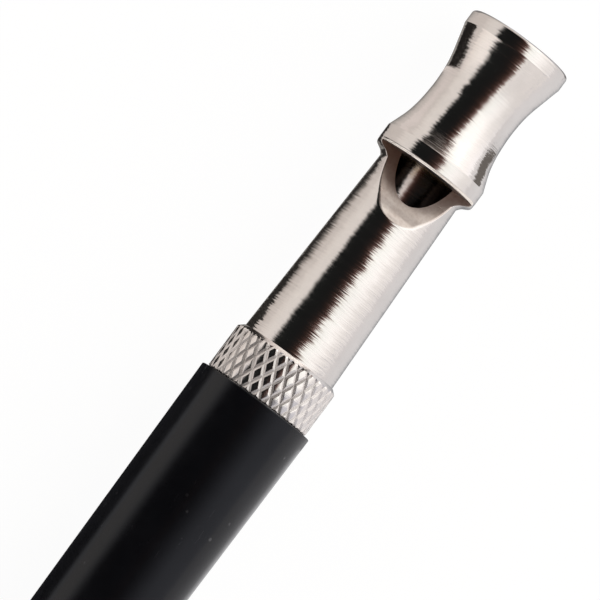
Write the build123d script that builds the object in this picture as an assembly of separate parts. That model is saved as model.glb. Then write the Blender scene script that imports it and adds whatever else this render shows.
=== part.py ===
from build123d import *
import math
import os

# Screw-tuned training whistle: a waisted mouthpiece on a tapered sounding tube,
# a knurled collar, and a tapered black sleeve that screws over the tuning screw.
# The whistle's axis runs along X, the mouth end points to +X, and the sound
# window faces +Z. It lies on its sleeve, so Z = 0 is the surface under it.
# Lengths are millimetres. "u" is the distance along the axis from the seam
# between collar and sleeve, positive towards the mouth end.

# ---- overall -------------------------------------------------------------
MOUTH_END = 30.50          # mouth end face
TAIL_END = -50.00          # outermost point of the tail knob
AXIS_HEIGHT = 4.50         # axis above the surface: the sleeve's mouth radius

# ---- sounding tube -------------------------------------------------------
BORE_R = 2.50              # bore shared by tube and mouthpiece
TUBE_R_LOW = 3.68          # outside, at the collar
FLARE = [                  # (u, radius): the tube swells into its flange
    (18.62, 3.22), (18.93, 3.48), (19.20, 3.92), (19.35, 4.00), (19.44, 4.02),
]
FLANGE_LOW = 19.44         # also the plane that the windway blows out of
FLANGE_TOP = 19.62
FLANGE_R = 4.02
TUBE_SPIGOT_R = 2.90       # spigot inside the mouthpiece
TUBE_SPIGOT_TOP = 21.80
TUBE_FOOT_R = 3.15         # foot inside the collar
TUBE_FOOT_U = 1.25

# ---- sound window: one pass of a large round cutter, ending at the flange --
CUTTER_R = 25.0
CUTTER_U = 28.22
CUTTER_Z = 24.66           # above the axis

# ---- mouthpiece ----------------------------------------------------------
SKIRT_R = 4.03
SKIRT_TOP = 20.75
RIM_R = 4.00
RIM_LOW = 29.42
RIM_ROUND = 0.26
WAIST = [                  # (u, radius) between the two lands
    (20.75, 3.99), (21.43, 3.74), (21.98, 3.55), (22.54, 3.41),
    (23.36, 3.28), (24.18, 3.215), (24.90, 3.19), (25.70, 3.215),
    (26.50, 3.29), (27.25, 3.43), (28.08, 3.64), (28.75, 3.81), (29.42, 3.985),
]

# ---- windway plug --------------------------------------------------------
PLUG_TOP = 24.60
PLUG_FLAT_Z = 1.92         # flat above the axis: leaves a 0.58 mm high slot
PLUG_LEAD = 1.10           # sloped lead-in at the blown end

# ---- knurled collar ------------------------------------------------------
COLLAR_TOP = 3.70
COLLAR_R = 4.10
COLLAR_CHAMFER = 0.34
COLLAR_FOOT_CHAMFER = 0.14
SLEEVE_THREAD_R = 3.50     # M7 x 0.5 outside thread, at its crests
SLEEVE_THREAD_END = -4.00
SCREW_HOLE_R = 2.05        # M4 x 0.7 inside thread, at its roots
RUNNING = 0.05             # radial running clearance

# ---- tuning gear ---------------------------------------------------------
SCREW_R = 2.00             # M4 x 0.7, at its crests
SCREW_TOP = 5.60
SCREW_END = -15.00
SCREW_TIP_R = 1.20
SCREW_TIP_TOP = 7.10
SLOT_W = 0.80
SLOT_D = 1.30
PISTON_R = 2.45
PISTON_LOW = 5.65
PISTON_FACE = 8.20
PISTON_HOLE_R = 1.25
PISTON_HOLE_TOP = 7.20
NUT_R = 3.00
NUT_TOP = -4.03
NUT_END = -6.43

# ---- sleeve and tail -----------------------------------------------------
SLEEVE_GAP = 0.08
SLEEVE_R_MOUTH = 4.50
SLEEVE_R_TAIL = 4.00
SLEEVE_END = -44.00
SLEEVE_BORE_MOUTH = 3.55
SLEEVE_BORE_MOUTH_END = -5.20
SLEEVE_BORE_R = 3.30
TAIL_DISC_END = -45.00
TAIL_PLUG_TOP = -39.50
KNOB_U = -47.50
KNOB_R = 2.50
KNOB_HALF_WIDTH = 1.60     # flats either side of the eye
EYE_U = -47.70
EYE_R = 1.25

# ---- split ring ----------------------------------------------------------
RING_MEAN_R = 6.40
RING_RADIAL = 1.00
RING_COIL = 0.86           # thickness of one coil
RING_PITCH = 0.90          # from the middle of one coil to the middle of the other
RING_CROSS = 14.0          # half the arc over which the wire crosses between coils
RING_CROSS_AT = 100.0      # where it crosses, measured from the eye

OUT = "parts"


def lathe(edges):
    """Turns a closed outline in the XZ plane about the X axis."""
    return revolve(make_face(edges), axis=Axis.X)


def line(points):
    return Polyline(*[(u, 0, r) for u, r in points])


def closed(points):
    return line(list(points) + [points[0]])


def box(u0, u1, y0, y1, z0, z1):
    return Pos((u0 + u1) / 2, (y0 + y1) / 2, (z0 + z1) / 2) * Box(u1 - u0, y1 - y0, z1 - z0)


def rod(u, z, r, half):
    """A cylinder along Y, centred on the XZ point (u, z)."""
    return Pos(u, 0, z) * Rot(X=90) * Cylinder(r, 2 * half)


# ---- body tube: taper, flare, thin flange and two spigots ------------------
tube_outline = (
    line([
        (FLANGE_LOW, FLANGE_R), (FLANGE_TOP, FLANGE_R), (FLANGE_TOP, TUBE_SPIGOT_R),
        (TUBE_SPIGOT_TOP, TUBE_SPIGOT_R), (TUBE_SPIGOT_TOP, BORE_R), (TUBE_FOOT_U, BORE_R),
        (TUBE_FOOT_U, TUBE_FOOT_R), (COLLAR_TOP, TUBE_FOOT_R), (COLLAR_TOP, TUBE_R_LOW),
        FLARE[0],
    ])
    + Spline(*[(u, 0, r) for u, r in FLARE])
)
body_tube = lathe(tube_outline)
window_cut = rod(CUTTER_U, CUTTER_Z, CUTTER_R, 8) & box(5, FLANGE_LOW, -8, 8, 0.2, 12)
body_tube = body_tube - window_cut

# ---- mouthpiece: two lands with a waist between, bored through ---------------
waist = Spline(*[(u, 0, r) for u, r in WAIST])
mouth_outline = (
    line([
        (SKIRT_TOP, WAIST[0][1]), (SKIRT_TOP - 0.04, SKIRT_R), (FLANGE_TOP + 0.05, SKIRT_R),
        (FLANGE_TOP, SKIRT_R - 0.05), (FLANGE_TOP, TUBE_SPIGOT_R), (TUBE_SPIGOT_TOP, TUBE_SPIGOT_R),
        (TUBE_SPIGOT_TOP, BORE_R), (MOUTH_END - 0.30, BORE_R), (MOUTH_END, BORE_R + 0.30),
        (MOUTH_END, RIM_R - RIM_ROUND),
    ])
    + ThreePointArc(
        (MOUTH_END, 0, RIM_R - RIM_ROUND),
        (MOUTH_END - RIM_ROUND * (1 - math.sin(math.radians(45))), 0,
         RIM_R - RIM_ROUND * (1 - math.cos(math.radians(45)))),
        (MOUTH_END - RIM_ROUND, 0, RIM_R),
    )
    + line([(MOUTH_END - RIM_ROUND, RIM_R), (RIM_LOW + 0.02, RIM_R), (RIM_LOW, WAIST[-1][1])])
    + waist
)
mouthpiece = lathe(mouth_outline)

# ---- windway plug: pressed in the bore, with a flat that leaves the air slot --
windway_plug = lathe(closed([(FLANGE_LOW, 0), (PLUG_TOP, 0), (PLUG_TOP, BORE_R), (FLANGE_LOW, BORE_R)]))
windway_plug = windway_plug - box(FLANGE_LOW - 1, PLUG_TOP + 1, -4, 4, PLUG_FLAT_Z, 6)
lead = Polyline(
    (PLUG_TOP - PLUG_LEAD, 0, PLUG_FLAT_Z), (PLUG_TOP + 1, 0, PLUG_FLAT_Z),
    (PLUG_TOP + 1, 0, PLUG_FLAT_Z - 2.0), (PLUG_TOP, 0, PLUG_FLAT_Z - 1.10),
    (PLUG_TOP - PLUG_LEAD, 0, PLUG_FLAT_Z),
)
windway_plug = windway_plug - extrude(make_face(lead), amount=4, both=True)

# ---- knurled collar: grip, seat for the tube, thread spigot, screw hole ------
knurled_collar = lathe(closed([
    (COLLAR_TOP, TUBE_FOOT_R), (COLLAR_TOP, COLLAR_R - COLLAR_CHAMFER),
    (COLLAR_TOP - COLLAR_CHAMFER, COLLAR_R), (COLLAR_FOOT_CHAMFER, COLLAR_R),
    (0, COLLAR_R - COLLAR_FOOT_CHAMFER), (0, SLEEVE_THREAD_R - 0.30),
    (-0.45, SLEEVE_THREAD_R - 0.30), (-0.75, SLEEVE_THREAD_R),
    (SLEEVE_THREAD_END + 0.30, SLEEVE_THREAD_R), (SLEEVE_THREAD_END, SLEEVE_THREAD_R - 0.30),
    (SLEEVE_THREAD_END, SCREW_HOLE_R), (TUBE_FOOT_U, SCREW_HOLE_R), (TUBE_FOOT_U, TUBE_FOOT_R),
]))

# ---- piston and tuning screw -------------------------------------------------
piston = lathe(closed([
    (PISTON_LOW, PISTON_HOLE_R), (PISTON_HOLE_TOP, PISTON_HOLE_R), (PISTON_HOLE_TOP, 0),
    (PISTON_FACE, 0), (PISTON_FACE, PISTON_R - 0.12), (PISTON_FACE - 0.12, PISTON_R),
    (PISTON_LOW + 0.12, PISTON_R), (PISTON_LOW, PISTON_R - 0.12),
]))
adjusting_screw = lathe(closed([
    (SCREW_END, 0), (SCREW_TIP_TOP, 0), (SCREW_TIP_TOP, SCREW_TIP_R - 0.15),
    (SCREW_TIP_TOP - 0.15, SCREW_TIP_R), (SCREW_TOP, SCREW_TIP_R), (SCREW_TOP, SCREW_R - 0.30),
    (SCREW_TOP - 0.30, SCREW_R), (SCREW_END + 0.35, SCREW_R), (SCREW_END, SCREW_R - 0.35),
]))
adjusting_screw = adjusting_screw - box(
    SCREW_END - 1, SCREW_END + SLOT_D, -SLOT_W / 2, SLOT_W / 2, -3, 3)
lock_nut = lathe(closed([
    (NUT_TOP, SCREW_HOLE_R), (NUT_TOP, NUT_R - 0.22), (NUT_TOP - 0.22, NUT_R),
    (NUT_END + 0.22, NUT_R), (NUT_END, NUT_R - 0.22), (NUT_END, SCREW_HOLE_R),
]))

# ---- sleeve: tapered tube with a wider threaded mouth --------------------------
sleeve = lathe(closed([
    (-SLEEVE_GAP, SLEEVE_BORE_MOUTH + 0.18), (-SLEEVE_GAP, SLEEVE_R_MOUTH - 0.07),
    (-SLEEVE_GAP - 0.07, SLEEVE_R_MOUTH), (SLEEVE_END, SLEEVE_R_TAIL),
    (SLEEVE_END, SLEEVE_BORE_R), (SLEEVE_BORE_MOUTH_END, SLEEVE_BORE_R),
    (SLEEVE_BORE_MOUTH_END, SLEEVE_BORE_MOUTH), (-SLEEVE_GAP - 0.18, SLEEVE_BORE_MOUTH),
]))

# ---- tail plug: pressed spigot, disc, and a flattened knob with an eye ----------
tail_plug = lathe(closed([
    (TAIL_PLUG_TOP, 0), (TAIL_PLUG_TOP, SLEEVE_BORE_R - 0.30), (TAIL_PLUG_TOP - 0.30, SLEEVE_BORE_R),
    (SLEEVE_END, SLEEVE_BORE_R), (SLEEVE_END, SLEEVE_R_TAIL), (SLEEVE_END - 0.35, SLEEVE_R_TAIL),
    (TAIL_DISC_END, SLEEVE_R_TAIL - 0.65), (TAIL_DISC_END, 0),
]))
knob = Pos(KNOB_U, 0, 0) * Sphere(KNOB_R)
knob = knob + Pos((TAIL_DISC_END + KNOB_U) / 2, 0, 0) * Rot(Y=90) * Cylinder(1.45, KNOB_U * -1 + TAIL_DISC_END)
knob = knob & box(TAIL_END - 1, TAIL_DISC_END + 0.2, -KNOB_HALF_WIDTH, KNOB_HALF_WIDTH, -4, 4)
tail_plug = tail_plug + knob
tail_plug = tail_plug - rod(EYE_U, 0, EYE_R, 4)

# ---- split ring: two flat coils joined by one crossing, hung through the eye ----
def coil_face(z):
    """The wire's section in the radial plane, centred at height z."""
    a, b = RING_MEAN_R - RING_RADIAL / 2, RING_MEAN_R + RING_RADIAL / 2
    h = RING_COIL / 2
    return make_face(Polyline((a, 0, z - h), (b, 0, z - h), (b, 0, z + h), (a, 0, z + h), (a, 0, z - h)))


flat_arc = 360 - 2 * RING_CROSS
lower = Rot(Z=RING_CROSS) * revolve(coil_face(-RING_PITCH / 2), axis=Axis.Z, revolution_arc=flat_arc)
upper = Rot(Z=RING_CROSS) * revolve(coil_face(RING_PITCH / 2), axis=Axis.Z, revolution_arc=flat_arc)
rise = Helix(pitch=RING_PITCH * 180 / RING_CROSS, height=RING_PITCH, radius=RING_MEAN_R)
crossing = Pos(0, 0, -RING_PITCH / 2) * sweep(coil_face(0), path=rise, is_frenet=True)
coil = lower + Rot(Z=-RING_CROSS) * crossing + upper
coil = Rot(Z=RING_CROSS_AT) * coil
reach = RING_MEAN_R * 2 + RING_RADIAL / 2
half = (RING_PITCH + RING_COIL) / 2
drop = 15.0
for _ in range(20):
    drop = math.degrees(math.asin(
        (AXIS_HEIGHT - 0.01 - half * math.cos(math.radians(drop))) / reach))
split_ring = Pos(EYE_U, 0, 0) * Rot(Y=-drop) * Pos(-RING_MEAN_R, 0, 0) * coil

nodes = {
    "mouthpiece": mouthpiece,
    "windway_plug": windway_plug,
    "body_tube": body_tube,
    "knurled_collar": knurled_collar,
    "piston": piston,
    "adjusting_screw": adjusting_screw,
    "lock_nut": lock_nut,
    "sleeve": sleeve,
    "tail_plug": tail_plug,
    "split_ring": split_ring,
}

# The frame's origin lies on the surface, under the middle of the whole object.
whole = Compound(children=[Part(s.wrapped) for s in nodes.values()]).bounding_box()
shift = -(whole.min.X + whole.max.X) / 2
print("shift", round(shift, 4), "lowest", round(whole.min.Z + AXIS_HEIGHT, 4), "ring drop", round(drop, 3))
print("length", round(whole.max.X - whole.min.X, 3))

os.makedirs(OUT, exist_ok=True)
for name, shape in nodes.items():
    placed = Pos(shift, 0, AXIS_HEIGHT) * shape
    export_step(placed, f"{OUT}/{name}.step")
    print(name, round(placed.volume, 3))
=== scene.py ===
import math

import bmesh
import bpy
import numpy as np
from mathutils import Matrix, Vector


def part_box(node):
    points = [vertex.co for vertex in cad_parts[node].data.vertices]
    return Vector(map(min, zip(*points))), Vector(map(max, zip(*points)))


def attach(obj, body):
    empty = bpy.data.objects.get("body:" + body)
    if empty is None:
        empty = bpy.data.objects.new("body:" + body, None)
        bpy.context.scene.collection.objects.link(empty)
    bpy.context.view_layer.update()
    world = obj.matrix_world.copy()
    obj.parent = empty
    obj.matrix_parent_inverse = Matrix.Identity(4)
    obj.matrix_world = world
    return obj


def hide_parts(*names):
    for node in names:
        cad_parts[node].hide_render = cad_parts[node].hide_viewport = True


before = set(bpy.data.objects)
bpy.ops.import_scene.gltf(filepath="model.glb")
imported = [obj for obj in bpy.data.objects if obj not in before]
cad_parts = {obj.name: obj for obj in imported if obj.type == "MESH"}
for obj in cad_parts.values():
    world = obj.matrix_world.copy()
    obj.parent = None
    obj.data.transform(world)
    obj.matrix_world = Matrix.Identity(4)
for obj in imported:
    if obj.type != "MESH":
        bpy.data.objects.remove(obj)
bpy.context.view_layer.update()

# ---------------------------------------------------------------------------
# the whistle's own frame: u along the axis from the collar's seam (mm), then
# y and z from the axis (mm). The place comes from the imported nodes.
# ---------------------------------------------------------------------------
_lo, _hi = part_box("mouthpiece")
X0 = _hi.x * 1000 - 30.50
H = (_lo.z + _hi.z) / 2 * 1000


def P(u, y=0.0, z=0.0):
    return Vector(((u + X0) / 1000, y / 1000, (z + H) / 1000))


BORE_R = 2.50
WAIST = [
    (20.75, 3.99), (21.43, 3.74), (21.98, 3.55), (22.54, 3.41),
    (23.36, 3.28), (24.18, 3.215), (24.90, 3.19), (25.70, 3.215),
    (26.50, 3.29), (27.25, 3.43), (28.08, 3.64), (28.75, 3.81), (29.42, 3.985),
]


# ---------------------------------------------------------------------------
# mesh tools
# ---------------------------------------------------------------------------
def catmull(points, per=6):
    """A smooth line through the points."""
    p = [np.array(q, float) for q in points]
    p = [2 * p[0] - p[1]] + p + [2 * p[-1] - p[-2]]
    out = []
    for i in range(1, len(p) - 2):
        for k in range(per):
            t = k / per
            a, b, c, d = p[i - 1], p[i], p[i + 1], p[i + 2]
            out.append(tuple(0.5 * ((2 * b) + (-a + c) * t + (2 * a - 5 * b + 4 * c - d) * t * t
                                    + (-a + 3 * b - 3 * c + d) * t ** 3)))
    out.append(tuple(p[-2]))
    return out


def outline(verts, arc=5):
    """Turns [(u, r, corner), ...] into points with normals. corner is None on a
    smooth curve, 0 for a sharp corner and a radius for a rounded one."""
    n = len(verts)
    area = sum(verts[i][0] * verts[(i + 1) % n][1] - verts[(i + 1) % n][0] * verts[i][1] for i in range(n))
    sign = 1.0 if area > 0 else -1.0
    out = []

    def nrm(d):
        return np.array([d[1], -d[0]]) * sign

    for i in range(n):
        a, b, c = (np.array(verts[j % n][:2], float) for j in (i - 1, i, i + 1))
        d0, d1 = b - a, c - b
        l0, l1 = np.linalg.norm(d0), np.linalg.norm(d1)
        d0, d1 = d0 / l0, d1 / l1
        kind = verts[i][2]
        if kind is None:
            m = nrm(d0) / l0 + nrm(d1) / l1
            out.append((b, m / np.linalg.norm(m), False))
            continue
        turn = math.atan2(d0[0] * d1[1] - d0[1] * d1[0], float(np.dot(d0, d1)))
        if kind == 0 or abs(turn) < 0.02:
            out.append((b, nrm(d0), True))
            out.append((b, nrm(d1), False))
            continue
        t = min(kind * math.tan(abs(turn) / 2), 0.45 * l0, 0.45 * l1)
        rho = t / math.tan(abs(turn) / 2)
        start = b - d0 * t
        side = 1.0 if turn > 0 else -1.0
        left = np.array([-d0[1], d0[0]]) * side
        centre = start + left * rho
        for k in range(arc + 1):
            ang = turn * k / arc
            v = -left
            v = np.array([v[0] * math.cos(ang) - v[1] * math.sin(ang), v[0] * math.sin(ang) + v[1] * math.cos(ang)])
            m = v * (side * sign)
            out.append((centre + v * rho, m, False))
    return out


def lathe_data(verts, arc=5):
    pts = outline(verts, arc)
    return pts


def lathe(name, verts, n=160, arc=5, x_shift=0.0):
    """A solid of revolution about the whistle's axis, with exact normals."""
    pts = lathe_data(verts, arc)
    rings, ring_of = [], []
    co = []
    for p, m, _ in pts:
        key = (round(float(p[0]), 5), round(float(p[1]), 5))
        if rings and rings[-1][0] == key:
            ring_of.append(len(rings) - 1)
            continue
        if rings and rings[0][0] == key:
            ring_of.append(0)
            continue
        first = len(co)
        if key[1] <= 1e-6:
            co.append(P(p[0]))
            rings.append((key, first, 1))
        else:
            for j in range(n):
                a = 2 * math.pi * j / n
                co.append(P(p[0], p[1] * math.sin(a), p[1] * math.cos(a)))
            rings.append((key, first, n))
        ring_of.append(len(rings) - 1)
    faces, normals = [], []

    def rot(m, a):
        return Vector((m[0], m[1] * math.sin(a), m[1] * math.cos(a)))

    count = len(pts)
    for i in range(count):
        j = (i + 1) % count
        ra, rb = rings[ring_of[i]], rings[ring_of[j]]
        if ra is rb or (ra[2] == 1 and rb[2] == 1):
            continue
        ma, mb = pts[i][1], pts[j][1]
        flip = None
        for k in range(n):
            k2 = (k + 1) % n
            a1, a2 = 2 * math.pi * k / n, 2 * math.pi * (k + 1) / n
            if ra[2] == 1:
                f = [ra[1], rb[1] + k2, rb[1] + k]
                m = [rot(ma, (a1 + a2) / 2), rot(mb, a2), rot(mb, a1)]
            elif rb[2] == 1:
                f = [ra[1] + k, ra[1] + k2, rb[1]]
                m = [rot(ma, a1), rot(ma, a2), rot(mb, (a1 + a2) / 2)]
            else:
                f = [ra[1] + k, ra[1] + k2, rb[1] + k2, rb[1] + k]
                m = [rot(ma, a1), rot(ma, a2), rot(mb, a2), rot(mb, a1)]
            if flip is None:
                g = (co[f[1]] - co[f[0]]).cross(co[f[2]] - co[f[0]])
                flip = g.dot(m[0] + m[1] + m[2]) < 0
            if flip:
                f.reverse()
                m.reverse()
            faces.append(f)
            normals.extend(m)
    me = bpy.data.meshes.new(name)
    me.from_pydata([tuple(v) for v in co], [], faces)
    me.polygons.foreach_set("use_smooth", [True] * len(me.polygons))
    me.update()
    me.normals_split_custom_set([tuple(v) for v in normals])
    ob = bpy.data.objects.new(name, me)
    bpy.context.scene.collection.objects.link(ob)
    return ob


def mesh_object(name, co, faces, smooth=True):
    me = bpy.data.meshes.new(name)
    me.from_pydata([tuple(v) for v in co], [], faces)
    me.update()
    if smooth:
        me.polygons.foreach_set("use_smooth", [True] * len(me.polygons))
    ob = bpy.data.objects.new(name, me)
    bpy.context.scene.collection.objects.link(ob)
    return ob


def boolean(ob, tool, op):
    mod = ob.modifiers.new("cut", "BOOLEAN")
    mod.operation = op
    mod.object = tool
    mod.solver = "EXACT"
    dg = bpy.context.evaluated_depsgraph_get()
    dg.update()
    me = bpy.data.meshes.new_from_object(ob.evaluated_get(dg))
    ob.modifiers.clear()
    old = ob.data
    ob.data = me
    me.name = ob.name
    bpy.data.meshes.remove(old)
    bpy.data.objects.remove(tool)
    return ob


def extruded(name, loop, y0, y1):
    """A prism along Y from a loop of (u, z) points, both from the axis."""
    co = [P(u, y0, z) for u, z in loop] + [P(u, y1, z) for u, z in loop]
    n = len(loop)
    faces = [[i, (i + 1) % n, n + (i + 1) % n, n + i] for i in range(n)]
    faces += [list(range(n))[::-1], [n + i for i in range(n)]]
    ob = mesh_object(name, co, faces, smooth=False)
    bm = bmesh.new()
    bm.from_mesh(ob.data)
    bmesh.ops.recalc_face_normals(bm, faces=bm.faces)
    bm.to_mesh(ob.data)
    bm.free()
    return ob


# exact surfaces, to give cut meshes their true normals. All in whistle mm.
def surf_profile(verts, arc=5):
    pts = lathe_data(verts, arc)
    segs = []
    for i in range(len(pts)):
        a, b = pts[i], pts[(i + 1) % len(pts)]
        if np.linalg.norm(a[0] - b[0]) > 1e-6:
            segs.append((a[0], b[0], a[1], b[1]))
    A = np.array([s[0] for s in segs])
    B = np.array([s[1] for s in segs])
    NA = np.array([s[2] for s in segs])
    NB = np.array([s[3] for s in segs])

    def at(p, g=None):
        r = math.hypot(p[1], p[2])
        q = np.array([p[0], r])
        d = B - A
        t = np.clip(((q - A) * d).sum(1) / (d * d).sum(1), 0, 1)
        c = A + d * t[:, None]
        dist = np.linalg.norm(c - q, axis=1)
        m = NA * (1 - t)[:, None] + NB * t[:, None]
        m /= np.linalg.norm(m, axis=1)[:, None]
        sy, cz = (p[1] / r, p[2] / r) if r > 1e-9 else (0.0, 1.0)
        if g is None:
            k = int(dist.argmin())
        else:
            g2 = np.array([g[0], g[1] * sy + g[2] * cz])
            k = int((dist + 0.5 * (1 - m @ g2)).argmin())
        n = m[k]
        return dist[k], np.array([n[0], n[1] * sy, n[1] * cz])
    return at


def surf_cyl_y(u, z, rad, inward):
    def at(p, g=None):
        d = np.array([p[0] - u, 0.0, p[2] - z])
        ln = np.linalg.norm(d)
        return abs(ln - rad), (-d if inward else d) / ln
    return at


def surf_cyl_x(rad, inward):
    def at(p, g=None):
        d = np.array([0.0, p[1], p[2]])
        ln = np.linalg.norm(d) + 1e-12
        return abs(ln - rad), (-d if inward else d) / ln
    return at


def surf_sphere(u, rad):
    def at(p, g=None):
        d = np.array([p[0] - u, p[1], p[2]])
        ln = np.linalg.norm(d) + 1e-12
        return abs(ln - rad), d / ln
    return at


def surf_plane(axis, value, direction):
    def at(p, g=None):
        n = np.zeros(3)
        n[axis] = direction
        return abs(p[axis] - value), n
    return at


def true_normals(ob, surfaces, slots=None):
    """Gives every face corner the normal of the exact surface it lies on."""
    me = ob.data
    co = np.array([((v.co.x * 1000 - X0), v.co.y * 1000, v.co.z * 1000 - H) for v in me.vertices])
    normals = [None] * len(me.loops)
    which = []
    for f in me.polygons:
        g = np.array(f.normal)
        c = co[list(f.vertices)].mean(0)
        best, pick = 1e9, 0
        for k, s in enumerate(surfaces):
            d, m = s(c, g)
            score = d + 0.6 * (1 - float(np.dot(m, g)))
            if score < best:
                best, pick = score, k
        which.append(pick)
        for li in f.loop_indices:
            v = co[me.loops[li].vertex_index]
            d, m = surfaces[pick](v, g)
            if float(np.dot(m, g)) < 0.2:
                m = g
            normals[li] = tuple(m)
    me.polygons.foreach_set("use_smooth", [True] * len(me.polygons))
    if slots:
        me.polygons.foreach_set("material_index", [slots[w] for w in which])
    me.update()
    me.normals_split_custom_set(normals)


def edge_bevel(ob, width, angle=35, segments=2):
    mod = ob.modifiers.new("edge", "BEVEL")
    mod.width = width / 1000
    mod.segments = segments
    mod.limit_method = "ANGLE"
    mod.angle_limit = math.radians(angle)
    mod.harden_normals = False
    return mod


# the scooped cut in the tube: an arc, a little deeper where the cutter starts
CUT_U, CUT_Z, CUT_R = 28.22, 24.66, 25.0
DIP, DIP_U, DIP_W = 0.10, 15.5, 0.55


def cut_z(u):
    return CUT_Z - math.sqrt(max(CUT_R ** 2 - (u - CUT_U) ** 2, 0.0)) - DIP * math.exp(-((u - DIP_U) / DIP_W) ** 2)


def surf_cut():
    def at(p, g=None):
        slope = (cut_z(p[0] + 1e-3) - cut_z(p[0] - 1e-3)) / 2e-3
        long = math.hypot(1.0, slope)
        return abs(p[2] - cut_z(p[0])) / long, np.array([-slope, 0.0, 1.0]) / long
    return at


# ---------------------------------------------------------------------------
# materials
# ---------------------------------------------------------------------------
class Nodes:
    """Short hand for shader nodes."""

    def __init__(self, tree):
        self.t = tree

    def new(self, kind, **inputs):
        n = self.t.nodes.new(kind)
        for k, v in inputs.items():
            n.inputs[k.replace("_", " ")].default_value = v
        return n

    def link(self, a, b):
        self.t.links.new(a, b)

    def math(self, op, a, b=None, c=None, clamp=False):
        n = self.t.nodes.new("ShaderNodeMath")
        n.operation = op
        n.use_clamp = clamp
        for i, v in enumerate((a, b, c)):
            if v is None:
                continue
            if isinstance(v, (int, float)):
                n.inputs[i].default_value = v
            else:
                self.link(v, n.inputs[i])
        return n.outputs[0]

    def combine(self, x, y, z):
        n = self.t.nodes.new("ShaderNodeCombineXYZ")
        for i, v in enumerate((x, y, z)):
            if isinstance(v, (int, float)):
                n.inputs[i].default_value = v
            else:
                self.link(v, n.inputs[i])
        return n.outputs[0]

    def noise(self, vec, scale, detail=2.0, rough=0.5, dims="3D"):
        n = self.t.nodes.new("ShaderNodeTexNoise")
        n.noise_dimensions = dims
        n.inputs["Scale"].default_value = scale
        n.inputs["Detail"].default_value = detail
        n.inputs["Roughness"].default_value = rough
        self.link(vec, n.inputs["Vector"])
        return n.outputs[0]

    def ramp(self, fac, stops, interp="LINEAR"):
        n = self.t.nodes.new("ShaderNodeValToRGB")
        n.color_ramp.interpolation = interp
        els = n.color_ramp.elements
        while len(els) > 1:
            els.remove(els[-1])
        for i, (pos, col) in enumerate(stops):
            if isinstance(col, (int, float)):
                col = (col, col, col)
            e = els[0] if i == 0 else els.new(pos)
            e.position = pos
            e.color = (*col, 1.0)
        self.link(fac, n.inputs[0])
        return n.outputs[0]

    def mix(self, fac, a, b, blend="MIX"):
        n = self.t.nodes.new("ShaderNodeMix")
        n.data_type = "RGBA"
        n.blend_type = blend
        for sock, v in ((n.inputs[0], fac), (n.inputs[6], a), (n.inputs[7], b)):
            if isinstance(v, (int, float)):
                sock.default_value = v
            elif isinstance(v, tuple):
                sock.default_value = (*v, 1.0)
            else:
                self.link(v, sock)
        return n.outputs[2]

    def bump(self, height, strength, distance, normal=None):
        n = self.t.nodes.new("ShaderNodeBump")
        n.inputs["Strength"].default_value = strength
        n.inputs["Distance"].default_value = distance
        self.link(height, n.inputs["Height"])
        if normal is not None:
            self.link(normal, n.inputs["Normal"])
        return n.outputs[0]


def material(name):
    m = bpy.data.materials.new(name)
    m.use_nodes = True
    nt = m.node_tree
    bsdf = next(n for n in nt.nodes if n.type == "BSDF_PRINCIPLED")
    return m, Nodes(nt), bsdf


def around(k):
    """Object position: the texture coordinate node, the place along the axis in mm, the cosine and sine of the angle
    round it, and y and z from the axis in mm.
    """
    tc = k.t.nodes.new("ShaderNodeTexCoord")
    sep = k.t.nodes.new("ShaderNodeSeparateXYZ")
    k.link(tc.outputs["Object"], sep.inputs[0])
    x = k.math("MULTIPLY", sep.outputs[0], 1000.0)
    y = k.math("MULTIPLY", sep.outputs[1], 1000.0)
    z = k.math("MULTIPLY_ADD", sep.outputs[2], 1000.0, -H)
    ang = k.math("ARCTAN2", y, z)
    cs, sn = k.math("COSINE", ang), k.math("SINE", ang)
    return tc, x, cs, sn, y, z


def under_cut(k, x, z):
    """How far a point lies below the surface of the scooped cut, in mm."""
    u = k.math("SUBTRACT", x, CUT_U + X0)
    arc = k.math("SQRT", k.math("MAXIMUM", k.math("MULTIPLY_ADD", k.math("MULTIPLY", u, u), -1.0, CUT_R ** 2), 0.0))
    q = k.math("MULTIPLY_ADD", x, 1 / DIP_W, -(DIP_U + X0) / DIP_W)
    dip = k.math("MULTIPLY", k.math("EXPONENT", k.math("MULTIPLY", k.math("MULTIPLY", q, q), -1.0)), DIP)
    return k.math("SUBTRACT", k.math("SUBTRACT", CUT_Z, k.math("ADD", arc, dip)), z)


def lean_to(k, normal, other, fac):
    """A normal leaned towards another by fac."""
    parts = []
    for op, a, b in (("SUBTRACT", other, normal),):
        n = k.t.nodes.new("ShaderNodeVectorMath")
        n.operation = op
        for i, v in enumerate((a, b)):
            if isinstance(v, tuple):
                n.inputs[i].default_value = v
            else:
                k.link(v, n.inputs[i])
        parts.append(n.outputs[0])
    sc = k.t.nodes.new("ShaderNodeVectorMath")
    sc.operation = "SCALE"
    k.link(parts[0], sc.inputs[0])
    k.link(fac, sc.inputs["Scale"])
    ad = k.t.nodes.new("ShaderNodeVectorMath")
    ad.operation = "ADD"
    k.link(normal, ad.inputs[0])
    k.link(sc.outputs[0], ad.inputs[1])
    return ad.outputs[0]


def to_world(k, normal):
    n = k.t.nodes.new("ShaderNodeVectorTransform")
    n.vector_type = "NORMAL"
    n.convert_from, n.convert_to = "OBJECT", "WORLD"
    k.link(normal, n.inputs[0])
    return n.outputs[0]


EDGE = 0.10          # how far the plating rounds the edge of the cut, in mm


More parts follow.
